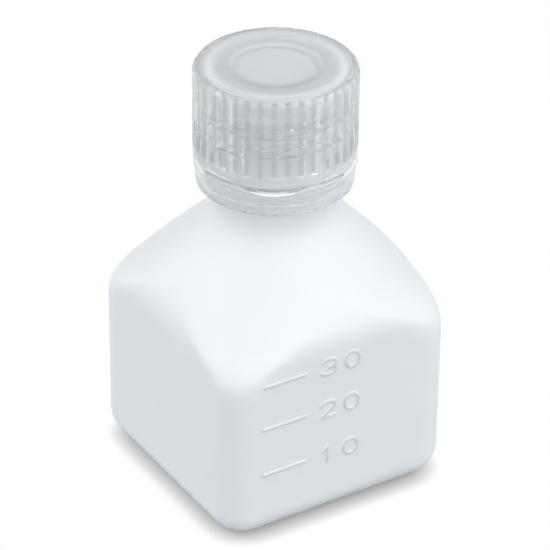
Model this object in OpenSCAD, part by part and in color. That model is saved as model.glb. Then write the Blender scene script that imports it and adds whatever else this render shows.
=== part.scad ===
// Square media bottle with a ribbed screw cap and a tamper band.
// Millimetres. The origin is the centre of the standing face and +Z is up.

/* [Bottle body] */
// Width of the square body across two flat sides
body_w = 38.3; // [36:0.1:44]
// Radius of the four upright corners
corner_r = 5.2; // [4:0.1:8]
// Rounding between the sides and the standing face
heel_r = 4.9; // [2:0.1:6]
// Thickness of the moulded wall
wall_t = 1.2; // [0.8:0.1:1.8]
// Thickness of the base
base_t = 2.4; // [1.8:0.1:3.5]
// Width across the hollow under the base
recess_d = 23; // [14:0.5:24]
// Depth of the hollow under the base
recess_depth = 0.8; // [0.3:0.1:1.2]

/* [Shoulder] */
// Height at which the flat sides start to lean in
side_top_z = 28.5; // [26:0.1:30]
// Rise over which the sides bend to the slope
side_bend = 7.6; // [3:0.1:9]
// Height at which the corners start to lean in
corner_top_z = 25.4; // [22:0.1:28]
// Rise over which the corners bend to the slope
corner_bend = 4.9; // [3:0.1:9]
// Height at which the shoulder meets the neck
neck_z = 44.9; // [42:0.1:50]
// Rise over which the slope bends into the neck
neck_bend = 5.5; // [3:0.1:6]

/* [Neck] */
// Diameter of the neck under the tamper bead
neck_d = 19; // [18:0.1:19.6]
// Height of the neck above the shoulder
finish_h = 19.7; // [19:0.1:22]
// Diameter of the neck between the threads
thread_root_d = 17.6; // [17:0.1:18]
// Diameter of the neck over its thread
thread_crest_d = 19.6; // [19.2:0.1:20]
// Rise of the thread in one turn
thread_pitch = 3.175; // [3:0.005:3.4]
// Turns of thread on the neck and in the cap
thread_turns = 2; // [1.5:0.25:2]
// Diameter of the bore through the neck
bore_d = 12.6; // [11:0.1:13.4]
// Diameter of the bead that holds the tamper band back
bead_d = 20.8; // [20.2:0.1:21]
// Height of the tamper bead
bead_h = 1.3; // [1:0.1:1.5]

/* [Cap] */
// Diameter of the cap over its ribs
cap_d = 23.66; // [23.4:0.02:26]
// Height of the cap
cap_h = 13.6; // [13.2:0.1:14]
// Thickness of the cap's top
cap_top_t = 0.95; // [0.8:0.05:1.2]
// Rounding of the cap's top edge
cap_edge_r = 0.9; // [0.4:0.1:1.2]
// Number of grip ribs
rib_count = 38; // [24:1:48]
// Depth of the grooves between the ribs
rib_depth = 0.42; // [0.2:0.02:0.5]
// Share of each rib's pitch that its groove takes
groove_share = 0.5; // [0.35:0.05:0.65]
// Height of the plain rim under the ribs
rim_h = 1.6; // [1:0.1:3]
// Depth of the plug seal that enters the bore
plug_depth = 2.4; // [1.5:0.1:3.5]
// Thickness of the plug seal
plug_t = 0.9; // [0.6:0.1:1.2]

/* [Tamper band] */
// Height of the tamper band
band_h = 4.4; // [4:0.05:4.6]
// Diameter of the band at its top
band_d = 23.4; // [23.2:0.1:25]
// How much narrower the band is at its bottom
band_taper = 0.5; // [0:0.1:0.8]
// Height of the slit between the band and the cap
slit_h = 0.25; // [0.2:0.05:0.5]
// Number of windows along the slit, where the band's top edge dips
window_count = 5; // [3:1:8]
// Share of the band that the windows take
window_share = 0.65; // [0.4:0.05:0.75]
// Depth of a window at its middle
window_dip = 0.7; // [0.3:0.05:0.9]
// Width of one of the two thin bridges between two windows
bridge_w = 0.7; // [0.4:0.1:1]
// Height of the catch inside the band, under the bead
catch_h = 1.3; // [0.8:0.1:1.5]

/* [Graduations] */
// Height of the 10 millilitre line
mark_10_z = 11.4; // [10:0.1:13]
// Height of the 20 millilitre line
mark_20_z = 19.2; // [17:0.1:21]
// Height of the 30 millilitre line
mark_30_z = 26.4; // [24:0.1:26.5]
// Length of a line
mark_w = 7.3; // [4:0.1:8]
// Distance of the lines' far ends from the middle of the side
mark_reach = 13.8; // [12:0.1:13.9]
// Height of a digit
digit_h = 3.1; // [2.4:0.1:3.6]
// Width of a digit
digit_w = 2.9; // [2.2:0.1:3.2]
// Width of the moulded strokes
stroke_w = 0.55; // [0.4:0.05:0.7]
// How far lines and digits stand out from the wall
relief = 0.25; // [0.1:0.05:0.4]

/* [Fits] */
// Gap round the neck's thread inside the cap
thread_fit = 0.25; // [0.2:0.05:0.3]
// Gap between the cap's top and the neck's rim
rim_fit = 0.05; // [0.02:0.01:0.2]
// Gap between the plug seal and the bore
plug_fit = 0.05; // [0.02:0.01:0.2]
// Gap between the band and the bead
bead_fit = 0.25; // [0.15:0.05:0.3]
// Gap between the catch and the neck
catch_fit = 0.35; // [0.3:0.05:0.5]
// Gap between a bridge and the cap's rim
bridge_fit = 0.05; // [0.02:0.01:0.15]

/* [Hidden] */
$fn = 96;
eps = 0.01;
corner_steps = 8;     // flats along one rounded corner of a ring
heel_steps = 5;       // rings along the heel
shoulder_steps = 15;  // rings along the shoulder
thread_steps = 30;    // flats along one turn of thread

half_w = body_w / 2;
// half of the body's width from corner to corner
half_diag = sqrt(2) * (half_w - corner_r) + corner_r;
neck_r = neck_d / 2;
finish_top_z = neck_z + finish_h;
cap_top_z = finish_top_z + rim_fit + cap_top_t;
cap_z = cap_top_z - cap_h;
band_top_z = cap_z - slit_h;
band_z = band_top_z - band_h;
bead_z = band_z + catch_h + bead_fit;
cap_bore_r = thread_crest_d / 2 + thread_fit;
cap_r = cap_d / 2;
// the thread on the neck ends this far under the rim
thread_top_gap = 2;
neck_thread_z = finish_top_z - thread_top_gap - thread_pitch * thread_turns;
thread_foot_w = 1.5;
thread_crest_w = 0.7;
thread_root_in = 0.4;
// direction of the middle of the first window, from +X
window_turn = -124;

// --- curves of the body -----------------------------------------------------

// Reach of the shoulder at height z: it holds `low` up to z0, bends over `bend`
// to a straight slope, and bends over `neck_bend` to neck_r at neck_z.
function lean(z, z0, bend, low) =
    let (
        rise = neck_z - z0,
        slope = (low - neck_r) / (rise - (bend + neck_bend) / 2),
        u = z - z0
    )
    u <= 0 ? low
    : u >= rise ? neck_r
    : u < bend ? low - slope * u * u / (2 * bend)
    : u > rise - neck_bend ? neck_r + slope * pow(rise - u, 2) / (2 * neck_bend)
    : low - slope * (u - bend / 2);

// half width across the flats, and half width across the corners, at height z
function side_reach(z) = lean(z, side_top_z, side_bend, half_w);
function diag_reach(z) = lean(z, corner_top_z, corner_bend, half_diag);

// corner radius that gives a ring of half width a its half diagonal d
function ring_corner(a, d) = min(max((sqrt(2) * a - d) / (sqrt(2) - 1), 0.3), a - 0.1);

// points of a rounded square of half width a and corner radius c at height z
function ring(a, c, z) = [
    for (quarter = [0:3], i = [0:corner_steps])
        let (
            turn = 90 * quarter,
            t = turn + 90 * i / corner_steps,
            x = (a - c) * (cos(turn) - sin(turn)),
            y = (a - c) * (sin(turn) + cos(turn))
        )
        [x + c * cos(t), y + c * sin(t), z]
];

// rings of the heel: sides and corners are drawn in along a quarter circle
function heel_rings(a, c, r, z) = [
    for (i = [0:heel_steps])
        let (t = 90 * i / heel_steps, inset = r * (1 - sin(t)))
        ring(a - inset, max(c - inset, 0.3), z + r * (1 - cos(t)))
];

// rings of the shoulder, `skin` inside the outer face
function shoulder_rings(skin) = [
    for (i = [0:shoulder_steps])
        let (
            z = corner_top_z + (neck_z - corner_top_z) * i / shoulder_steps,
            a = side_reach(z),
            c = ring_corner(a, min(diag_reach(z), sqrt(2) * a))
        )
        ring(a - skin, max(min(c, a - 0.1) - skin, 0.3), z - skin / 2)
];

// closed solid through a list of rings, from the lowest to the highest
module ring_solid(rings) {
    n = len(rings[0]);
    m = len(rings);
    points = [for (r = rings) for (p = r) p];
    floor_face = [[for (i = [0:n - 1]) i]];
    roof_face = [[for (i = [n - 1:-1:0]) (m - 1) * n + i]];
    walls = [
        for (k = [0:m - 2], i = [0:n - 1])
            let (j = (i + 1) % n)
            each [[k * n + i, (k + 1) * n + i, (k + 1) * n + j], [k * n + i, (k + 1) * n + j, k * n + j]]
    ];
    polyhedron(points, concat(floor_face, roof_face, walls), convexity = 4);
}

// --- threads ----------------------------------------------------------------

// Right-hand thread that starts at height z. It stands on radius foot_r and
// reaches crest_r, which lies inside foot_r for a thread in a bore.
module thread(foot_r, crest_r, z) {
    n = ceil(thread_steps * thread_turns);
    fade = thread_steps / 8;
    way = crest_r > foot_r ? 1 : -1;
    root_r = foot_r - way * thread_root_in;
    points = [
        for (i = [0:n])
            let (
                t = 360 * thread_turns * i / n,
                mid = z + thread_pitch * t / 360,
                full = min(1, i / fade, (n - i) / fade),
                tip_r = root_r + (crest_r - root_r) * max(full, 0.1)
            )
            for (p = [
                [root_r, -thread_foot_w / 2],
                [tip_r, -thread_crest_w / 2],
                [tip_r, thread_crest_w / 2],
                [root_r, thread_foot_w / 2]
            ])
                [p[0] * cos(t), p[0] * sin(t), mid + p[1]]
    ];
    sides = [
        for (i = [0:n - 1], k = [0:3])
            let (a = 4 * i + k, b = 4 * i + (k + 1) % 4)
            each [[a, b, b + 4], [a, b + 4, a + 4]]
    ];
    ends = [[3, 2, 1, 0], [4 * n, 4 * n + 1, 4 * n + 2, 4 * n + 3]];
    faces = concat(sides, ends);
    turned = [for (f = faces) [for (i = [len(f) - 1:-1:0]) f[i]]];
    polyhedron(points, way > 0 ? faces : turned, convexity = 8);
}

// --- digits -----------------------------------------------------------------

// Curved stroke from angle t0 to angle t1 of an ellipse. Its outer half width is a
// and its outer half height is b.
module bow(a, b, t0, t1) {
    steps = ceil(abs(t1 - t0) / 20);
    turns = [for (i = [0:steps]) t0 + (t1 - t0) * i / steps];
    outer = [for (t = turns) [a * cos(t), b * sin(t)]];
    inner = [
        for (i = [steps:-1:0])
            [(a - stroke_w) * cos(turns[i]), (b - stroke_w) * sin(turns[i])]
    ];
    polygon(concat(outer, inner));
}

// filled ellipse of half width a and half height b
module oval(a, b) {
    polygon([for (t = [0:20:340]) [a * cos(t), b * sin(t)]]);
}

module digit_0() {
    translate([digit_w / 2, digit_h / 2])
        difference() {
            oval(digit_w / 2, digit_h / 2);
            oval(digit_w / 2 - stroke_w, digit_h / 2 - stroke_w);
        }
}

module digit_1() {
    translate([(digit_w - stroke_w) / 2, 0]) square([stroke_w, digit_h]);
    polygon([
        [digit_w / 2, digit_h],
        [digit_w / 2, digit_h - 1.4 * stroke_w],
        [digit_w / 5, digit_h - 2.6 * stroke_w],
        [digit_w / 5, digit_h - 1.4 * stroke_w]
    ]);
}

module digit_2() {
    half = digit_w / 2;
    tall = digit_h * 0.3;
    turn = 25;
    square([digit_w, stroke_w]);
    translate([half, digit_h - tall]) bow(half, tall, -29, 180);
    polygon([
        [0.02, stroke_w / 2],
        [1.8 * stroke_w, stroke_w / 2],
        [half + (half - 0.1 * stroke_w) * cos(turn), digit_h - tall - (tall - 0.1 * stroke_w) * sin(turn)],
        [half + (half - 0.8 * stroke_w) * cos(turn), digit_h - tall - (tall - 0.8 * stroke_w) * sin(turn)]
    ]);
}

module digit_3() {
    half = digit_w / 2;
    tall = (digit_h + stroke_w) / 4;
    translate([half, digit_h - tall]) bow(half, tall, -97, 160);
    translate([half, tall]) bow(half, tall, -160, 103);
}

// one graduation: a line and its two-digit number
module mark(z, tens) {
    gap = 1.1;
    digits_x = mark_w - mark_reach + 2.1 * gap;
    sink = wall_t / 3;
    translate([0, sink - half_w, z])
        rotate([90, 0, 0])
            linear_extrude(sink + relief) {
                translate([-mark_reach, -stroke_w / 2]) square([mark_w, stroke_w]);
                translate([digits_x, -digit_h / 2]) {
                    if (tens == 1) digit_1();
                    if (tens == 2) digit_2();
                    if (tens == 3) digit_3();
                }
                translate([digits_x + digit_w + gap, -digit_h / 2]) digit_0();
            }
}

// --- sub-parts --------------------------------------------------------------

// neck with its tamper bead, without its thread
module neck() {
    root_r = thread_root_d / 2;
    bead_r = bead_d / 2;
    chamfer = 0.4;
    rotate_extrude()
        polygon([
            [0, neck_z - 1],
            [neck_r, neck_z - 1],
            [neck_r, bead_z],
            [bead_r, bead_z],
            [bead_r, bead_z + bead_h / 3],
            [root_r, bead_z + bead_h],
            [root_r, finish_top_z - chamfer],
            [root_r - chamfer, finish_top_z],
            [0, finish_top_z]
        ]);
}

// inside of the bottle: body, shoulder, and the bore through the neck
module cavity() {
    inner_heel = max(heel_r - wall_t, 0.5);
    throat_r = neck_r - wall_t;
    throat_z = neck_z - wall_t / 2;
    throat_h = 2;
    bore_r = bore_d / 2;
    rings = concat(
        heel_rings(half_w - wall_t, corner_r - wall_t, inner_heel, base_t),
        shoulder_rings(wall_t)
    );
    ring_solid(rings);
    translate([0, 0, throat_z - eps]) cylinder(h = throat_h, r1 = throat_r - 0.1, r2 = bore_r);
    translate([0, 0, throat_z]) cylinder(h = finish_h + 2 * wall_t, r = bore_r);
}

module bottle() {
    recess_r = recess_d / 2;
    recess_ball_r = (pow(recess_r, 2) + pow(recess_depth, 2)) / (2 * recess_depth);
    color([0.95, 0.97, 0.99])
        difference() {
            union() {
                ring_solid(concat(heel_rings(half_w, corner_r, heel_r, 0), shoulder_rings(0)));
                neck();
                thread(thread_root_d / 2, thread_crest_d / 2, neck_thread_z);
                mark(mark_10_z, 1);
                mark(mark_20_z, 2);
                mark(mark_30_z, 3);
            }
            cavity();
            translate([0, 0, recess_depth - recess_ball_r]) sphere(recess_ball_r);
        }
}

// outside of the cap, before its grooves are cut
module cap_blank() {
    rotate_extrude() {
        translate([0, cap_z]) square([cap_r, cap_h - cap_edge_r]);
        translate([0, cap_z]) square([cap_r - cap_edge_r, cap_h]);
        translate([cap_r - cap_edge_r, cap_top_z - cap_edge_r]) circle(cap_edge_r);
    }
}

module grip_grooves() {
    half_groove = PI * cap_r / rib_count * groove_share;
    floor_r = cap_r - rib_depth;
    for (i = [0:rib_count - 1])
        rotate([0, 0, 360 * i / rib_count])
            translate([0, 0, cap_z + rim_h])
                linear_extrude(cap_h)
                    polygon([
                        [floor_r, -0.6 * half_groove],
                        [cap_r + 1, -1.4 * half_groove],
                        [cap_r + 1, 1.4 * half_groove],
                        [floor_r, 0.6 * half_groove]
                    ]);
}

module cap() {
    plug_r = bore_d / 2 - plug_fit;
    roof_z = cap_top_z - cap_top_t;
    color([0.8, 0.83, 0.86, 0.9]) {
        difference() {
            cap_blank();
            grip_grooves();
            translate([0, 0, cap_z - eps]) cylinder(h = roof_z - cap_z + eps, r = cap_bore_r);
        }
        difference() {
            translate([0, 0, roof_z - plug_depth]) cylinder(h = plug_depth + eps, r = plug_r);
            translate([0, 0, roof_z - plug_depth - eps])
                cylinder(h = plug_depth + 3 * eps, r = plug_r - plug_t);
        }
        thread(cap_bore_r, thread_root_d / 2 + thread_fit, neck_thread_z - thread_pitch / 2);
    }
}

// one window: a round cutter that lies across the band and bites into its top
module window_cutter() {
    half_chord = band_d / 2 * sin(180 * window_share / window_count);
    cutter_r = (pow(half_chord, 2) + pow(window_dip, 2)) / (2 * window_dip);
    translate([band_d / 4, 0, band_top_z - window_dip + cutter_r])
        rotate([0, 90, 0])
            rotate([0, 0, 180])
                cylinder(h = band_d / 2, r = cutter_r);
}

module tamper_band() {
    top_r = band_d / 2;
    bottom_r = top_r - band_taper / 2;
    inner_r = bead_d / 2 + bead_fit;
    catch_r = neck_r + catch_fit;
    edge = 0.3;
    pitch_turn = 360 / window_count;
    land_turn = pitch_turn * (1 - window_share);
    bridge_h = slit_h - bridge_fit;
    bridge_x = inner_r + 0.1;
    color([0.82, 0.85, 0.88, 0.9]) {
        difference() {
            rotate_extrude()
                polygon([
                    [catch_r, band_z + edge],
                    [catch_r + edge, band_z],
                    [bottom_r - edge, band_z],
                    [bottom_r, band_z + edge],
                    [top_r, band_top_z - edge],
                    [top_r - edge, band_top_z],
                    [inner_r, band_top_z],
                    [inner_r, band_z + catch_h],
                    [catch_r, band_z + catch_h - edge]
                ]);
            for (i = [0:window_count - 1])
                rotate([0, 0, window_turn + pitch_turn * i]) window_cutter();
        }
        for (i = [0:window_count - 1], side = [-1, 1])
            rotate([0, 0, window_turn + pitch_turn * (i + 0.5) + side * land_turn / 3])
                translate([bridge_x, -bridge_w / 2, band_top_z - eps])
                    cube([top_r - edge - bridge_x, bridge_w, bridge_h + eps]);
    }
}

bottle();
cap();
tamper_band();
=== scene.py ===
"""A small square media bottle of milky polyethylene with a ribbed, translucent screw cap.

Lengths are millimetres in the sizes below and metres in every mesh. +Z is up, the origin is the
centre of the standing face, and the graduated side faces -Y.
"""

import math

import bmesh
import bpy
import numpy as np
from mathutils import Euler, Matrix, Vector


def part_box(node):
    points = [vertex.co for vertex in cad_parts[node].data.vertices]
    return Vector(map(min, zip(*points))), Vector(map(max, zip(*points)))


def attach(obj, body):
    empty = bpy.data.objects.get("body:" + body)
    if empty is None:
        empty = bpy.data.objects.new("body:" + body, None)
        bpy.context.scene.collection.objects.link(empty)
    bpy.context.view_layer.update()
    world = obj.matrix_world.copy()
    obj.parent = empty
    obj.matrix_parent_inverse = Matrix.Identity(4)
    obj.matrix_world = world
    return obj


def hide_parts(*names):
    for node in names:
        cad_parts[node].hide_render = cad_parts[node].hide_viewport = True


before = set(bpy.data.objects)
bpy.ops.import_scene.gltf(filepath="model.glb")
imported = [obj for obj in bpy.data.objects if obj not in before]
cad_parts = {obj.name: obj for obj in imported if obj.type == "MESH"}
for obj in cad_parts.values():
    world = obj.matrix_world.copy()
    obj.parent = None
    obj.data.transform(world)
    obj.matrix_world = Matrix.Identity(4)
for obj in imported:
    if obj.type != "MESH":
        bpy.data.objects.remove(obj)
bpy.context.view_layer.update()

MM = 0.001
TURN = 2 * math.pi

# --- sizes, in millimetres ---------------------------------------------------

HALF_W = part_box("bottle")[1].x / MM  # half the width of the square body
CORNER_R = 5.2  # upright corners
HEEL_R = 4.9  # rounding at the standing face
LEAST_CORNER_R = 0.3
FIRST_ROW_Z, ROWS_LOW_Z, ROW_H = 6.5, 8.9, 0.6  # rows of faces on the flat sides
WALL, BASE = 1.2, 2.4  # thicknesses
RECESS_R = 11.5  # hollow under the base
RECESS_DEPTH = 0.8
HALF_DIAG = math.sqrt(2) * (HALF_W - CORNER_R) + CORNER_R

SIDE_TOP, SIDE_BEND = 28.5, 7.6  # where the sides lean in, and over what rise they bend
CORNER_TOP, CORNER_BEND = 25.4, 4.9
NECK_BEND = 5.5
NECK_R, NECK_Z = 9.5, 44.9  # foot of the neck
RIM_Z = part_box("bottle")[1].z / MM  # top of the neck

ROOT_R, CREST_R = 8.8, 9.8  # neck between and over its threads
RIM_EDGE = 0.4  # rounding of the rim outside
BORE_R = 6.3
BORE_EDGE = 0.3  # rounding of the rim inside
BORE_END_Z = NECK_Z + 1.4  # the bore widens from here down
BEAD_R, BEAD_H = 10.4, 1.3
BEAD_EDGE = 0.2  # rounding under the bead and on it
BEAD_SLOPE_LOW = 0.35  # height on the bead at which its sloped top starts
PITCH = 3.175
THREAD_TURNS = 2
THREAD_FOOT, THREAD_CREST = 1.5, 0.7  # width of the thread at its foot and crest
THREAD_FADE = 0.12  # share of a turn over which the thread's ends fade
THREAD_Z = RIM_Z - 2 - PITCH * THREAD_TURNS

CAP_LOW, CAP_HIGH = (corner.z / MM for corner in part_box("cap"))
CAP_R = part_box("cap")[1].x / MM
CAP_TOP = 0.95  # thickness of the cap's top
CAP_EDGE = 0.9  # rounding round the top
CAP_FIT = 0.25  # room between the threads
CAP_BORE_R = CREST_R + CAP_FIT
RIB_COUNT, RIB_DEPTH = 38, 0.42
GROOVE_HALF, GROOVE_FLANK = 0.42, 0.34  # as shares of the ribs' pitch
CAP_RIM = 1.6  # plain rim under the ribs
GROOVE_END = 0.3  # rise over which the grooves sink in above the rim
LIP_EDGE, MOUTH_EDGE, ROOF_EDGE = 0.25, 0.2, 0.4  # roundings at the cap's rim and inside its roof
PLUG_R, PLUG_WALL, PLUG_DEPTH = BORE_R - 0.05, 0.9, 2.4
PLUG_EDGE, PLUG_FINE_EDGE = 0.3, 0.15

SLIT, BRIDGE_GAP = 0.25, 0.05  # from the band to the cap, and from a bridge to the cap
BAND_TOP_Z = CAP_LOW - SLIT
BAND_LOW_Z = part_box("tamper_band")[0].z / MM
BAND_R, BAND_TAPER = 11.7, 0.25
BAND_INNER_R = BEAD_R + 0.25
BAND_SHOULDER = 1  # depth under the top edge at which the sides start
BAND_TOP_EDGE, BAND_INNER_EDGE, BAND_LOW_EDGE = 0.45, 0.12, 0.35
CATCH_R, CATCH_H = NECK_R + 0.35, 1.3
CATCH_EDGE, CATCH_ROOT = 0.3, 0.15
WINDOW_COUNT, WINDOW_SHARE, WINDOW_DIP = 5, 0.65, 0.7
WINDOW_TURN = math.radians(-124)  # middle of the first window
BRIDGE_W, BRIDGE_FLANK = 0.7, 0.16
BEAD_Z = BAND_LOW_Z + CATCH_H + 0.25

MARKS = {11.4: "10", 19.2: "20", 26.4: "30"}  # height of each line, and its number
MARK_W, MARK_REACH = 7.3, 13.8
DIGIT_W, DIGIT_H, DIGIT_GAP = 2.9, 3.1, 1.1
NUMBER_GAP = 2.1 * DIGIT_GAP  # from a line to its number
FLAG = 0.75  # width and drop of the short stroke of a 1
STROKE_W, STROKE_FLANK, RELIEF = 0.55, 0.3, 0.25
STROKE_FOOT = STROKE_W / 2 + 0.08  # from a stroke's middle line to the foot of its flank
STROKE_REACH = STROKE_W / 2 + 0.65  # how far from a stroke the wall's faces are divided
ON_WALL = 0.001  # how near the graduated side a point of it lies

# points round the bottle, round one rib and round the band
BOTTLE_AROUND, RIB_AROUND, BAND_AROUND = 256, 16, 900


# --- grids -------------------------------------------------------------------

def spread(low, high, count):
    """Evenly spaced values from low up to, and without, high."""
    return np.linspace(low, high, count, endpoint=False)


def smooth(x):
    """Goes from 0 at x = 0 to 1 at x = 1 with level ends: 3x^2 - 2x^3."""
    x = np.clip(x, 0, 1)
    return x * x * (3 - 2 * x)


def lofted(name, rings, closed=False):
    """A mesh through rings of points, given as an array of ring, place round the ring, and x, y, z.

    Neighbouring rings are joined by quads all the way round. An open loft is closed at its first
    and last ring by a fan to the ring's middle, and a closed one joins its last ring to its first.
    """
    count, around, _ = rings.shape
    points = rings.reshape(-1, 3)
    here = np.arange(count * around).reshape(count, around)
    above = np.roll(here, -1, axis=0)
    if not closed:
        here, above = here[:-1], above[:-1]
    quads = np.stack([here, np.roll(here, -1, 1), np.roll(above, -1, 1), above], -1).reshape(-1, 4)
    faces = quads.tolist()
    if not closed:
        ends = np.arange(around)
        after = np.roll(ends, -1)
        low, high = len(points), len(points) + 1
        top = (count - 1) * around
        points = np.vstack([points, rings[0].mean(0), rings[-1].mean(0)])
        faces += np.stack([np.full(around, low), after, ends], -1).tolist()
        faces += np.stack([np.full(around, high), top + ends, top + after], -1).tolist()
    mesh = bpy.data.meshes.new(name)
    mesh.from_pydata((points * MM).tolist(), [], faces)
    mesh.shade_smooth()
    piece = bpy.data.objects.new(name, mesh)
    bpy.context.scene.collection.objects.link(piece)
    return piece


def quarter(centre_r, centre_z, radius, start, end, count):
    """Points r, z along an arc about a centre, from angle start to angle end in degrees."""
    t = np.radians(np.linspace(start, end, count))
    return np.stack([centre_r + radius * np.cos(t), centre_z + radius * np.sin(t)], -1)


def straight(start, end, count):
    """Points r, z along a straight line, without its two ends."""
    t = np.linspace(0, 1, count + 2)[1:-1, None]
    return np.array(start) + (np.array(end) - np.array(start)) * t


# --- the square body ---------------------------------------------------------

def lean(z, start, bend, low):
    """Reach of the shoulder at height z.

    It is `low` up to start, bends over `bend` as a parabola to a straight slope, and bends back
    over NECK_BEND as another parabola to NECK_R at NECK_Z.
    """
    rise = NECK_Z - start
    slope = (low - NECK_R) / (rise - (bend + NECK_BEND) / 2)
    u = np.clip(z - start, 0, rise)
    bent = low - slope * u * u / (2 * bend)
    sloped = low - slope * (u - bend / 2)
    level = NECK_R + slope * (rise - u) ** 2 / (2 * NECK_BEND)
    return np.where(u < bend, bent, np.where(u > rise - NECK_BEND, level, sloped))


def shoulder_section(z):
    """Half width and corner radius of the outside at height z.

    The corner radius is the one that gives a square of that half width its own half diagonal.
    """
    side = lean(z, SIDE_TOP, SIDE_BEND, HALF_W)
    diag = np.minimum(lean(z, CORNER_TOP, CORNER_BEND, HALF_DIAG), math.sqrt(2) * side)
    corner = (math.sqrt(2) * side - diag) / (math.sqrt(2) - 1)
    return side, np.clip(corner, LEAST_CORNER_R, side)


def outline(side, corner, turn):
    """Distance from the axis to a rounded square's outline, in the direction `turn`.

    In one eighth of the square this is side / cos(turn) along the flat, and past the flat the far
    crossing with the circle of radius `corner` whose centre is side - corner along both axes.
    """
    eighth = np.abs((turn + math.pi / 4) % (math.pi / 2) - math.pi / 4)
    k = side - corner
    flat = side / np.cos(eighth)
    inside = np.maximum(corner ** 2 - k ** 2 * (1 - np.sin(2 * eighth)), 0)
    arc = k * (np.cos(eighth) + np.sin(eighth)) + np.sqrt(inside)
    return np.where(side * np.tan(eighth) <= k, flat, arc)


def heel_section(side, corner, radius, low, count):
    """Half width, corner radius and height of the rings that go round the heel."""
    t = np.linspace(0, math.pi / 2, count)
    inset = radius * (1 - np.sin(t))
    height = low + radius * (1 - np.cos(t))
    return side - inset, np.maximum(corner - inset, LEAST_CORNER_R), height


def thread_height(z, turn, start_z):
    """Height of a right-hand thread, as a share of its full height, at height z and direction turn.

    The thread's middle climbs one pitch each turn from start_z. Across it the height is full over
    the crest and falls smoothly to nothing at the foot. It also fades out over its two ends.
    """
    climb = (z - start_z) / PITCH - turn / TURN
    whole = np.clip(np.round(climb), 0, THREAD_TURNS - 1)
    across = np.abs(climb - whole) * PITCH
    along = turn / TURN + whole
    rise = smooth((THREAD_FOOT / 2 - across) / ((THREAD_FOOT - THREAD_CREST) / 2))
    fade = smooth(along / THREAD_FADE) * smooth((THREAD_TURNS - along) / THREAD_FADE)
    return rise * fade


def bottle_rings():
    """Rings of the bottle from the middle of its base, up the outside, over the neck's rim, down
    the bore and over the inside to the middle of the inner floor.

    Every ring is a rounded square of some half width and corner radius, or a circle, and the rings
    of the threaded stretch of the neck are pushed out by the thread's height.
    """
    turn = spread(0, TURN, BOTTLE_AROUND)
    recess_ball = (RECESS_R ** 2 + RECESS_DEPTH ** 2) / (2 * RECESS_DEPTH)
    recess_r = np.array([0.5, 2.5, 5, 7.5, 9.5, 10.8, RECESS_R])  # rings across the hollow
    recess_z = RECESS_DEPTH - recess_ball + np.sqrt(recess_ball ** 2 - recess_r ** 2)
    upright = np.concatenate([[FIRST_ROW_Z], np.arange(ROWS_LOW_Z, CORNER_TOP - ROW_H / 2, ROW_H)])
    slope_z = np.concatenate([spread(CORNER_TOP, SIDE_TOP, 5), np.linspace(SIDE_TOP, NECK_Z, 42)])
    sections = [
        (recess_r, recess_r, recess_z),
        heel_section(HALF_W, CORNER_R, HEEL_R, 0, 14),
        (np.full(len(upright), HALF_W), np.full(len(upright), CORNER_R), upright),
        (*shoulder_section(slope_z), slope_z),
    ]

    neck = np.vstack([
        straight((NECK_R, NECK_Z), (NECK_R, BEAD_Z - BEAD_EDGE / 2), 3),
        quarter(NECK_R + BEAD_EDGE, BEAD_Z - BEAD_EDGE, BEAD_EDGE, 180, 90, 4),
        quarter(BEAD_R - BEAD_EDGE, BEAD_Z + BEAD_EDGE, BEAD_EDGE, -90, 20, 6),
        straight((BEAD_R, BEAD_Z + BEAD_SLOPE_LOW), (ROOT_R, BEAD_Z + BEAD_H), 4),
    ])
    thread_low, thread_high = BEAD_Z + BEAD_H, RIM_Z - RIM_EDGE - 0.5
    threaded = np.linspace(thread_low, thread_high, 62)
    flare_end = (NECK_R - WALL, NECK_Z - WALL / 2)
    rim = np.vstack([
        quarter(ROOT_R - RIM_EDGE, RIM_Z - RIM_EDGE, RIM_EDGE, 0, 90, 7),
        straight((ROOT_R - RIM_EDGE, RIM_Z), (BORE_R + BORE_EDGE, RIM_Z), 2),
        quarter(BORE_R + BORE_EDGE, RIM_Z - BORE_EDGE, BORE_EDGE, 90, 180, 5),
        straight((BORE_R, RIM_Z - BORE_EDGE), (BORE_R, BORE_END_Z), 6),
        straight((BORE_R, BORE_END_Z), flare_end, 5),
    ])
    for r, z in (neck.T, (np.full(len(threaded), ROOT_R), threaded), rim.T):
        sections.append((r, r, z))

    inner_z = np.linspace(NECK_Z, CORNER_TOP, 22)
    inner_side, inner_corner = shoulder_section(inner_z)
    inner_corner = np.clip(inner_corner - WALL, LEAST_CORNER_R, inner_side - WALL)
    sections.append((inner_side - WALL, inner_corner, inner_z - WALL / 2))
    side, corner = HALF_W - WALL, CORNER_R - WALL
    inner_rows = np.array([18.0, 10.0])
    sections.append((np.full(2, side), np.full(2, corner), inner_rows))
    inner_heel = heel_section(side, corner, HEEL_R - WALL, BASE, 9)
    sections.append(tuple(part[::-1] for part in inner_heel))
    floor_r = np.array([11.0, 6.0, 1.0])  # rings across the inner floor
    sections.append((floor_r, floor_r, np.full(3, BASE)))

    side, corner, z = (np.concatenate(parts)[:, None] for parts in zip(*sections))
    reach = outline(side, corner, turn)
    on_thread = (side == ROOT_R) & (z > thread_low) & (z < RIM_Z - RIM_EDGE)
    reach = reach + on_thread * (CREST_R - ROOT_R) * thread_height(z, turn, THREAD_Z)
    return np.stack([reach * np.cos(turn), reach * np.sin(turn), z + 0 * reach], -1)


# --- raised marks ------------------------------------------------------------

def bow(x, z, half_w, half_h, start, end):
    """A stroke along part of an ellipse about x, z, from angle start to angle end in degrees:
    x + half_w cos t and z + half_h sin t."""
    t = np.radians(np.linspace(start, end, 28))
    return np.stack([x + half_w * np.cos(t), z + half_h * np.sin(t)], -1)


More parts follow.
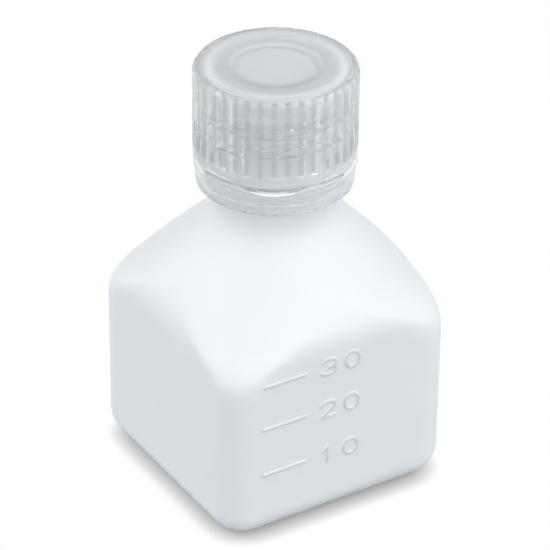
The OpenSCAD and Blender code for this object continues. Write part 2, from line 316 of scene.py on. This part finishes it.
def digit(sign, x, z):
    """Strokes of one digit whose lower left corner is at x, z. Strokes follow their middle line."""
    left, right = x + STROKE_W / 2, x + DIGIT_W - STROKE_W / 2
    low, high = z + STROKE_W / 2, z + DIGIT_H - STROKE_W / 2
    mid, half = (left + right) / 2, (right - left) / 2
    if sign == "0":
        return [bow(mid, (low + high) / 2, half, (high - low) / 2, 0, 360)]
    if sign == "1":
        return [np.array([(mid, low), (mid, high), (mid - FLAG, high - FLAG)])]
    if sign == "2":
        tall = DIGIT_H * 0.3 - STROKE_W / 2
        hook = bow(mid, high - tall, half, tall, 180, -40)
        return [np.vstack([hook, [(left, low), (right, low)]])]
    tall = (high - low) / 4
    upper = bow(mid, high - tall, half, tall, 160, -90)
    return [np.vstack([upper, bow(mid, low + tall, half, tall, 90, -160)])]


def mark_strokes():
    """The paths, as x and z on the graduated side, of the three lines and their numbers."""
    strokes = []
    for height, number in MARKS.items():
        strokes.append(np.array([(-MARK_REACH, height), (MARK_W - MARK_REACH, height)]))
        for place, sign in enumerate(number):
            x = MARK_W - MARK_REACH + NUMBER_GAP + place * (DIGIT_W + DIGIT_GAP)
            strokes += digit(sign, x, height - DIGIT_H / 2)
    return strokes


def to_strokes(points):
    """Distance from each point to the nearest stroke's middle line.

    For each straight bit of a path, the nearest place on it is the point's projection, held
    between the bit's two ends. The least length keeps a bit whose ends meet from dividing by zero.
    """
    least = 1e-9
    nearest = np.full(len(points), np.inf)
    for path in mark_strokes():
        start, way = path[:-1], np.diff(path, axis=0)
        off = points[:, None] - start
        share = np.clip((off * way).sum(-1) / np.maximum((way * way).sum(-1), least), 0, 1)
        gap = np.linalg.norm(off - share[..., None] * way, axis=-1).min(-1)
        nearest = np.minimum(nearest, gap)
    return nearest


def graduated_side(x, y):
    """Which points, in millimetres, lie on the flat of the side at -Y."""
    return (np.abs(y + HALF_W) < ON_WALL) & (np.abs(x) < HALF_W - CORNER_R)


def make_bottle():
    """The bottle, one closed surface through its rings, with the marks raised on the side at -Y.

    The wall's faces near a stroke are divided into cells of about 0.1 mm, and every point there
    stands out by RELIEF times a smooth step of its distance to the stroke's middle line.
    """
    piece = lofted("bottle_body", bottle_rings())
    mesh = piece.data
    work = bmesh.new()
    work.from_mesh(mesh)
    centres = np.empty(3 * len(mesh.polygons))
    mesh.polygons.foreach_get("center", centres)
    x, y, z = centres.reshape(-1, 3).T / MM
    chosen = np.flatnonzero(graduated_side(x, y))
    chosen = chosen[to_strokes(np.stack([x, z], -1)[chosen]) < STROKE_REACH]
    work.faces.ensure_lookup_table()
    edges = {edge for i in chosen.tolist() for edge in work.faces[i].edges}
    bmesh.ops.subdivide_edges(work, edges=list(edges), cuts=5, use_grid_fill=True)
    work.to_mesh(mesh)
    work.free()

    points = np.empty(3 * len(mesh.vertices))
    mesh.vertices.foreach_get("co", points)
    points = points.reshape(-1, 3)
    x, y, z = points.T / MM
    wall = np.flatnonzero(graduated_side(x, y))
    gap = to_strokes(np.stack([x, z], -1)[wall])
    points[wall, 1] -= RELIEF * MM * smooth((STROKE_FOOT - gap) / STROKE_FLANK)
    mesh.vertices.foreach_set("co", points.ravel())
    mesh.shade_smooth()
    return piece


# --- cap and tamper band -----------------------------------------------------

def groove(turn):
    """Depth of the grip grooves in the direction turn, from 0 on a rib to 1 on a groove's floor."""
    place = np.abs((turn * RIB_COUNT / TURN + 0.5) % 1 - 0.5)
    return smooth((GROOVE_HALF - place) / GROOVE_FLANK)


def make_cap():
    """The cap, one closed surface: over the top, down the ribbed side, round the rim, up the
    threaded inside, and down and up the plug seal to the middle of the roof.

    The grooves push the side in to their floor, which stands upright, so that they run out where
    the top edge curves in past it.
    """
    turn = spread(0, TURN, RIB_COUNT * RIB_AROUND)
    roof_z = CAP_HIGH - CAP_TOP
    rim_z = CAP_LOW + CAP_RIM
    full_z, plain_z = rim_z + 0.5, rim_z - 0.1  # the grooves are full above and gone below
    plug_low = roof_z - PLUG_DEPTH
    plug_in = PLUG_R - PLUG_WALL
    outside = np.vstack([
        straight((0.2, CAP_HIGH), (CAP_R - CAP_EDGE, CAP_HIGH), 8),
        quarter(CAP_R - CAP_EDGE, CAP_HIGH - CAP_EDGE, CAP_EDGE, 90, 0, 14),
        straight((CAP_R, CAP_HIGH - CAP_EDGE), (CAP_R, full_z), 5),
        straight((CAP_R, full_z), (CAP_R, plain_z), 8),
        straight((CAP_R, plain_z), (CAP_R, CAP_LOW + LIP_EDGE), 2),
        quarter(CAP_R - LIP_EDGE, CAP_LOW + LIP_EDGE, LIP_EDGE, 0, -90, 6),
    ])
    thread_low, thread_high = CAP_LOW + 2 * MOUTH_EDGE, roof_z - ROOF_EDGE - 0.5
    fine = PLUG_FINE_EDGE
    inside = np.vstack([
        quarter(CAP_BORE_R + MOUTH_EDGE, CAP_LOW + MOUTH_EDGE, MOUTH_EDGE, -90, -180, 5),
        straight((CAP_BORE_R, thread_low), (CAP_BORE_R, thread_high), 74),
        quarter(CAP_BORE_R - ROOF_EDGE, roof_z - ROOF_EDGE, ROOF_EDGE, 0, 90, 6),
        straight((CAP_BORE_R - ROOF_EDGE, roof_z), (PLUG_R + fine, roof_z), 2),
        quarter(PLUG_R + fine, roof_z - fine, fine, 90, 180, 4),
        quarter(PLUG_R - PLUG_EDGE, plug_low + PLUG_EDGE, PLUG_EDGE, 0, -90, 6),
        quarter(plug_in + fine, plug_low + fine, fine, -90, -180, 4),
        quarter(plug_in - PLUG_EDGE, roof_z - PLUG_EDGE, PLUG_EDGE, 0, 90, 5),
        straight((plug_in - PLUG_EDGE, roof_z), (0, roof_z), 4),
    ])
    r, z = outside.T[..., None]
    above_rim = smooth((z - rim_z) / GROOVE_END)
    floor_r = CAP_R - RIB_DEPTH
    outside_r = r - groove(turn) * above_rim * np.maximum(r - floor_r, 0)
    outside_z = z + 0 * turn
    r, z = inside.T[..., None]
    depth = CAP_BORE_R - ROOT_R - CAP_FIT
    inside_r = r - (r == CAP_BORE_R) * depth * thread_height(z, turn, THREAD_Z - PITCH / 2)
    inside_z = z + 0 * turn
    reach, z = np.vstack([outside_r, inside_r]), np.vstack([outside_z, inside_z])
    rings = np.stack([reach * np.cos(turn), reach * np.sin(turn), z], -1)
    return lofted("screw_cap", rings[::-1])


def make_band():
    """The tamper band, a closed ring whose top edge dips in round windows between thin bridges.

    A window's dip is the lower arc of a circle through its two ends. Two bridges rise between two
    windows and stop just under the cap.
    """
    turn = spread(0, TURN, BAND_AROUND)
    pitch = TURN / WINDOW_COUNT
    from_window = (turn - WINDOW_TURN + pitch / 2) % pitch - pitch / 2
    half_chord = BAND_R * math.sin(pitch * WINDOW_SHARE / 2)
    radius = (half_chord ** 2 + WINDOW_DIP ** 2) / (2 * WINDOW_DIP)
    sideways = np.minimum(np.abs(BAND_R * np.sin(from_window)), half_chord)
    top = BAND_TOP_Z - WINDOW_DIP + radius - np.sqrt(radius ** 2 - sideways ** 2)
    from_land = pitch / 2 - np.abs(from_window)
    to_bridge = np.abs(from_land - pitch * (1 - WINDOW_SHARE) / 3) * BAND_R
    flank = BRIDGE_FLANK
    bridge = (SLIT - BRIDGE_GAP) * smooth(((BRIDGE_W + flank) / 2 - to_bridge) / flank)

    low_r, catch_z = BAND_R - BAND_TAPER, BAND_LOW_Z + CATCH_H
    shoulder_z = BAND_TOP_Z - BAND_SHOULDER
    catch_r, edge = CATCH_R + CATCH_EDGE, BAND_LOW_EDGE
    lower = np.vstack([
        quarter(catch_r, BAND_LOW_Z + CATCH_EDGE, CATCH_EDGE, 180, 270, 6),
        quarter(low_r - edge, BAND_LOW_Z + edge, edge, -90, 0, 8),
        straight((low_r, BAND_LOW_Z + edge), (BAND_R - 0.04, shoulder_z), 5),
    ])
    upper = np.vstack([
        quarter(BAND_R - BAND_TOP_EDGE, -BAND_TOP_EDGE, BAND_TOP_EDGE, 0, 90, 9),
        quarter(BAND_INNER_R + BAND_INNER_EDGE, -BAND_INNER_EDGE, BAND_INNER_EDGE, 90, 180, 5),
    ])
    inner = np.vstack([
        straight((BAND_INNER_R, shoulder_z), (BAND_INNER_R, catch_z), 3),
        quarter(BAND_INNER_R - CATCH_ROOT, catch_z + CATCH_ROOT, CATCH_ROOT, 0, -90, 4),
        quarter(catch_r, catch_z - CATCH_EDGE, CATCH_EDGE, 90, 180, 6),
    ])
    upper_r = upper[:, :1]
    on_top = (upper_r < BAND_R - 0.2) & (upper_r > BAND_INNER_R + 0.02)  # where bridges stand
    upper_z = upper[:, 1:] + top + on_top * bridge
    r = np.concatenate([lower[:, 0], upper[:, 0], inner[:, 0]])[:, None] + 0 * turn
    z = np.vstack([lower[:, 1:] + 0 * turn, upper_z, inner[:, 1:] + 0 * turn])
    rings = np.stack([r * np.cos(turn), r * np.sin(turn), z], -1)
    return lofted("tear_band", rings, closed=True)


# --- materials ---------------------------------------------------------------

EASE = {"interpolation_type": "SMOOTHSTEP"}
TIMES = {"operation": "MULTIPLY"}
LARGER = {"operation": "MAXIMUM"}
TINTS = {"data_type": "RGBA"}

# share of light that the closure's plastic lets straight through, from place to place
# The last share makes the low edge of each window in the band nearly opaque white, a painted
# highlight.
CLEAR_TOP, CLEAR_RING, CLEAR_SIDE, CLEAR_AT_GLINT = 0.56, 0.66, 0.755, 0.1
RING_STRENGTH = 0.75

# where those places start and where they are full, in millimetres
TOP_Z, TOP_R = (63.8, 65.0), (11.2, 9.2)
RING_FROM, RING_TO = (5.8, 7.1), (9.8, 8.5)
GRIP_Z, GRIP_R = (53.4, 54.0), (10.8, 11.2)
GLINT_OVER, GLINT_UNDER = (50.5, 50.7), (51.3, 51.1)
GLINT_OUTSIDE, GLINT_INSIDE = (10.7, 11.0), (11.68, 11.60)


def colour(hex_code):
    """An sRGB hex colour as linear red, green, blue and full alpha."""
    parts = [int(hex_code[i : i + 2], 16) / 255 for i in (1, 3, 5)]
    linear = [p / 12.92 if p <= 0.04045 else ((p + 0.055) / 1.055) ** 2.4 for p in parts]
    return (*linear, 1.0)


def add(tree, kind, settings=None, **inputs):
    """Adds a node of one kind. settings are its own properties. inputs go by socket name with
    underscores for spaces, or by an underscore and the socket's number: a node links its first
    output, a socket links itself, and anything else is set as the constant value."""
    node = tree.nodes.new("ShaderNode" + kind)
    for key, value in (settings or {}).items():
        setattr(node, key, value)
    for key, value in inputs.items():
        name = int(key[1:]) if key[1:].isdigit() else key.replace("_", " ")
        socket = node.inputs[name]
        if isinstance(value, bpy.types.Node):
            tree.links.new(value.outputs[0], socket)
        elif isinstance(value, bpy.types.NodeSocket):
            tree.links.new(value, socket)
        else:
            socket.default_value = value
    return node


def within(tree, *steps):
    """How far a point is past all of the steps, from 0 to 1: the product of their smooth steps.

    A step is a source in metres, and the places in millimetres where it starts and is full.
    """
    share = None
    for source, (start, full) in steps:
        step = add(tree, "MapRange", EASE, Value=source, From_Min=start * MM, From_Max=full * MM)
        share = add(tree, "Math", TIMES, _0=share, _1=step) if share else step
    return share


def new_material(name):
    """An empty node material and its tree."""
    material = bpy.data.materials.new(name)
    material.use_nodes = True
    material.node_tree.nodes.clear()
    return material, material.node_tree


def milky_polyethylene():
    """High density polyethylene, natural, blow moulded. The wall lets light in and scatters it a
    few millimetres, so shade is soft and milky. The cooled skin is satin, with a faint cloudiness
    9 mm across and a ripple 6 mm long from the mould. Its grain is drawn at 0.5 mm, coarser than
    it is, to show. The raised marks are greyed with painted shade, greyest over their crests."""
    material, tree = new_material("milky_polyethylene_blown")
    place = add(tree, "TexCoord").outputs["Object"]
    cloud = add(tree, "TexNoise", Vector=place, Scale=1 / (9 * MM), Detail=2.0)
    tint = add(
        tree, "Mix", TINTS, _0=cloud.outputs["Fac"], _6=colour("#ECF1F5"), _7=colour("#F0F4F7"),
    )
    out = add(tree, "SeparateXYZ", Vector=place).outputs["Y"]
    # Painted shade: points that stand out from the graduated side are greyed towards #C8CED4, in
    # place of the shade under each raised mark.
    mark_low, mark_high = -(HALF_W + 0.06) * MM, -(HALF_W + 0.2) * MM
    raised = add(tree, "MapRange", Value=out, From_Min=mark_low, From_Max=mark_high)
    tint = add(tree, "Mix", TINTS, _0=raised, _6=tint.outputs[2], _7=colour("#C8CED4"))
    ripple = add(tree, "TexNoise", Vector=place, Scale=1 / (6 * MM), Detail=1.0)
    skin = add(tree, "TexNoise", Vector=place, Scale=1 / (0.5 * MM), Detail=2.0)
    wave = add(
        tree, "Bump", Height=ripple.outputs["Fac"], Distance=0.3 * MM, Strength=0.25,
    )
    grain = add(
        tree, "Bump", Height=skin.outputs["Fac"], Distance=0.02 * MM, Strength=0.3, Normal=wave,
    )
    shader = add(
        tree, "BsdfPrincipled", Base_Color=tint.outputs[2], Normal=grain,
        Roughness=0.38, IOR=1.5, Subsurface_Weight=0.55, Subsurface_Scale=4 * MM,
        Subsurface_Radius=(1.0, 1.0, 1.0),
    )
    add(tree, "OutputMaterial", Surface=shader)
    return material


def hazy_polypropylene():
    """Polypropylene, natural, injection moulded. It is glassy but hazy: threads and ribs show
    through one another as soft grey bands, the flat top is the milkiest, and a clearer ring runs
    over the neck's rim, greyed with painted shade. The low edge of each window in the band is a
    painted highlight, made white by making its plastic nearly opaque. The steel mould leaves the
    skin smooth, with a faint flow 4 mm long, and painted shade greys the grip's grooves."""
    material, tree = new_material("hazy_polypropylene_moulded")
    place = add(tree, "TexCoord").outputs["Object"]
    flow = add(tree, "TexNoise", Vector=place, Scale=1 / (4 * MM), Detail=2.0)
    rough = add(tree, "MapRange", Value=flow.outputs["Fac"], To_Min=0.09, To_Max=0.13)
    skin = add(tree, "Bump", Height=flow.outputs["Fac"], Distance=0.1 * MM, Strength=0.2)

    flat = add(tree, "VectorMath", TIMES, _0=place, _1=(1, 1, 0))
    radius = add(tree, "VectorMath", {"operation": "LENGTH"}, _0=flat).outputs["Value"]
    part = add(tree, "SeparateXYZ", Vector=place).outputs
    height = part["Z"]

    on_top = within(tree, (height, TOP_Z), (radius, TOP_R))
    # Over the neck's rim the top is clearer, and it is also greyed with painted shade that stands
    # in for the rim's shadow seen through the top.
    ring = within(tree, (radius, RING_FROM), (radius, RING_TO))
    ring = add(tree, "Math", TIMES, _0=ring, _1=on_top)
    ring = add(tree, "Math", TIMES, _0=ring, _1=RING_STRENGTH)
    clear_top = add(tree, "Mix", _0=ring, _2=CLEAR_TOP, _3=CLEAR_RING)
    clear = add(tree, "Mix", _0=on_top, _2=CLEAR_SIDE, _3=clear_top)
    # Painted highlight: the low edge of each window in the band is made nearly opaque, so it reads
    # white.
    painted_glint = within(
        tree, (radius, GLINT_INSIDE), (radius, GLINT_OUTSIDE), (height, GLINT_OVER),
        (height, GLINT_UNDER),
    )
    clear = add(tree, "Mix", _0=painted_glint, _2=clear, _3=CLEAR_AT_GLINT)

    # Painted shade: the grip's grooves are greyed by a cosine of the turn round the axis, 38 to a
    # turn.
    turn = add(tree, "Math", {"operation": "ARCTAN2"}, _0=part["Y"], _1=part["X"])
    ribs = add(tree, "Math", TIMES, _0=turn, _1=RIB_COUNT)
    dips = add(tree, "Math", {"operation": "COSINE"}, _0=ribs)
    depth = add(tree, "MapRange", EASE, Value=dips, From_Min=-0.6, From_Max=1.0)
    on_grip = within(tree, (radius, GRIP_R), (height, GRIP_Z))
    shade = add(tree, "Math", TIMES, _0=depth, _1=on_grip)
    # Painted shade: the grooves and the ring over the neck's rim grey the colour towards #E4E6E9.
    shade = add(tree, "Math", LARGER, _0=shade, _1=ring)
    tint = add(tree, "Mix", TINTS, _0=shade, _6=colour("#FBFCFD"), _7=colour("#E4E6E9"))
    shader = add(
        tree, "BsdfPrincipled", Base_Color=tint.outputs[2], Normal=skin,
        Roughness=rough, IOR=1.49, Transmission_Weight=clear,
    )
    add(tree, "OutputMaterial", Surface=shader)
    return material


def seen_ray(tree):
    """1 for camera, glossy and transmission rays, which see the surroundings as plain white."""
    rays = add(tree, "LightPath").outputs
    seen = add(tree, "Math", LARGER, _0=rays["Is Camera Ray"], _1=rays["Is Glossy Ray"])
    return add(tree, "Math", LARGER, _0=seen, _1=rays["Is Transmission Ray"])


def pale_floor():
    """Matt white card. Camera, glossy and transmission rays see it as a plain white glow with a
    painted shadow, dimmed by ambient occlusion where the object all but touches the card, 4 mm
    wide, and light bounces off it dully."""
    material, tree = new_material("pale_floor_card")
    # Painted shadow: the white glow is dimmed where ambient occlusion within 4 mm finds the object.
    shade = add(tree, "AmbientOcclusion", Distance=4 * MM)
    open_to_light = shade.outputs["AO"]
    white = add(tree, "MapRange", Value=open_to_light, From_Max=0.75, To_Min=0.22, To_Max=1.0)
    matt = add(tree, "BsdfDiffuse", Color=colour("#A8ACB0"))
    glow = add(tree, "Emission", Color=(1, 1, 1, 1), Strength=white)
    both = add(tree, "MixShader", _0=seen_ray(tree), _1=matt, _2=glow)
    add(tree, "OutputMaterial", Surface=both)
    return material


# --- stage -------------------------------------------------------------------

COOL = (0.975, 0.99, 1.0, 1.0)  # linear colour of the light

# azimuth and elevation in degrees, share of white, and width in degrees
LAMPS = {
    "left_lamp": (-115, 18, 0.58, 90),
    "front_lamp": (2, 30, 0.51, 84),
    "right_lamp": (54, 24, 0.3, 76),
}

FLOOR_HALF = 1.5  # metres

CAMERA_AZIMUTH, CAMERA_ELEVATION, CAMERA_ROLL = -32.26, 31.831, 0.615  # degrees
CAMERA_AIM = (0.131, -0.083, 30.709)  # millimetres
CAMERA_AWAY = 483.256
LENS, SENSOR_W = 216.71, 36


def facing(azimuth, elevation):
    """The turn that points +Z from the object to an azimuth and elevation in degrees.

    Azimuth 0 is in front, at -Y, and 90 is on the right, at +X.
    """
    return Euler((math.radians(90 - elevation), 0, math.radians(azimuth)))


def graded(tree, low, high, azimuth, elevation):
    """A level from low on one side to high on the side at an azimuth and elevation in degrees, by
    a smooth step of the cosine to that side."""
    way = add(tree, "TexCoord").outputs["Generated"]
    bright_way = facing(azimuth, elevation).to_matrix().col[2]
    across = add(tree, "VectorMath", {"operation": "DOT_PRODUCT"}, _0=way, _1=bright_way)
    return add(
        tree, "MapRange", EASE, Value=across.outputs["Value"], From_Min=-1.0, From_Max=1.0,
        To_Min=low, To_Max=high,
    )


def make_world():
    """Soft, slightly cool surroundings. They light the part most from high up behind on the left,
    and glossy and clear plastic see them brightest on the right."""
    world = bpy.data.worlds.new("soft_surroundings")
    bpy.context.scene.world = world
    world.use_nodes = True
    tree = world.node_tree
    tree.nodes.clear()
    lit = graded(tree, 0.14, 0.56, -140, 55)
    seen = graded(tree, 0.6, 1.2, 80, 0)
    level = add(tree, "Mix", _0=seen_ray(tree), _2=lit, _3=seen)
    light = add(tree, "Background", Color=COOL, Strength=level)
    add(tree, "OutputWorld", Surface=light)


def make_lamp(name, azimuth, elevation, share, width):
    """A wide far light. share is how white it alone would make white card that faces it."""
    data = bpy.data.lights.new(name, "SUN")
    data.color = COOL[:3]
    data.energy = math.pi * share
    data.angle = math.radians(width)
    lamp = bpy.data.objects.new(name, data)
    bpy.context.scene.collection.objects.link(lamp)
    lamp.rotation_euler = facing(azimuth, elevation)


def make_floor(material):
    """A flat white floor under the object, wide enough to fill the view."""
    mesh = bpy.data.meshes.new("floor")
    corners = [(FLOOR_HALF * x, FLOOR_HALF * y, 0) for x, y in ((-1, -1), (1, -1), (1, 1), (-1, 1))]
    mesh.from_pydata(corners, [], [(0, 1, 2, 3)])
    mesh.materials.append(material)
    floor = bpy.data.objects.new("floor", mesh)
    bpy.context.scene.collection.objects.link(floor)


def make_camera():
    """A long lens that looks down on the corner between the graduated side and the side at -X."""
    data = bpy.data.cameras.new("camera")
    data.sensor_width = SENSOR_W
    data.lens = LENS
    data.clip_start = 0.01
    camera = bpy.data.objects.new("camera", data)
    bpy.context.scene.collection.objects.link(camera)
    roll = Euler((0, 0, math.radians(CAMERA_ROLL))).to_matrix()
    turn = facing(CAMERA_AZIMUTH, CAMERA_ELEVATION).to_matrix() @ roll
    camera.rotation_euler = turn.to_euler()
    camera.location = (Vector(CAMERA_AIM) + turn.col[2] * CAMERA_AWAY) * MM
    bpy.context.scene.camera = camera


# --- build -------------------------------------------------------------------

body_finish = milky_polyethylene()
closure_finish = hazy_polypropylene()

for piece, body, node, slot, finish in (
    (make_bottle(), "bottle", "bottle", "bottle", body_finish),
    (make_cap(), "cap", "cap", "closure", closure_finish),
    (make_band(), "tamper_band", "tamper_band", "closure", closure_finish),
):
    piece.data.materials.append(finish)
    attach(piece, body)
    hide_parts(node)

make_floor(pale_floor())
make_world()
for name, lamp in LAMPS.items():
    make_lamp(name, *lamp)
make_camera()
bpy.context.scene.view_settings.view_transform = "Standard"
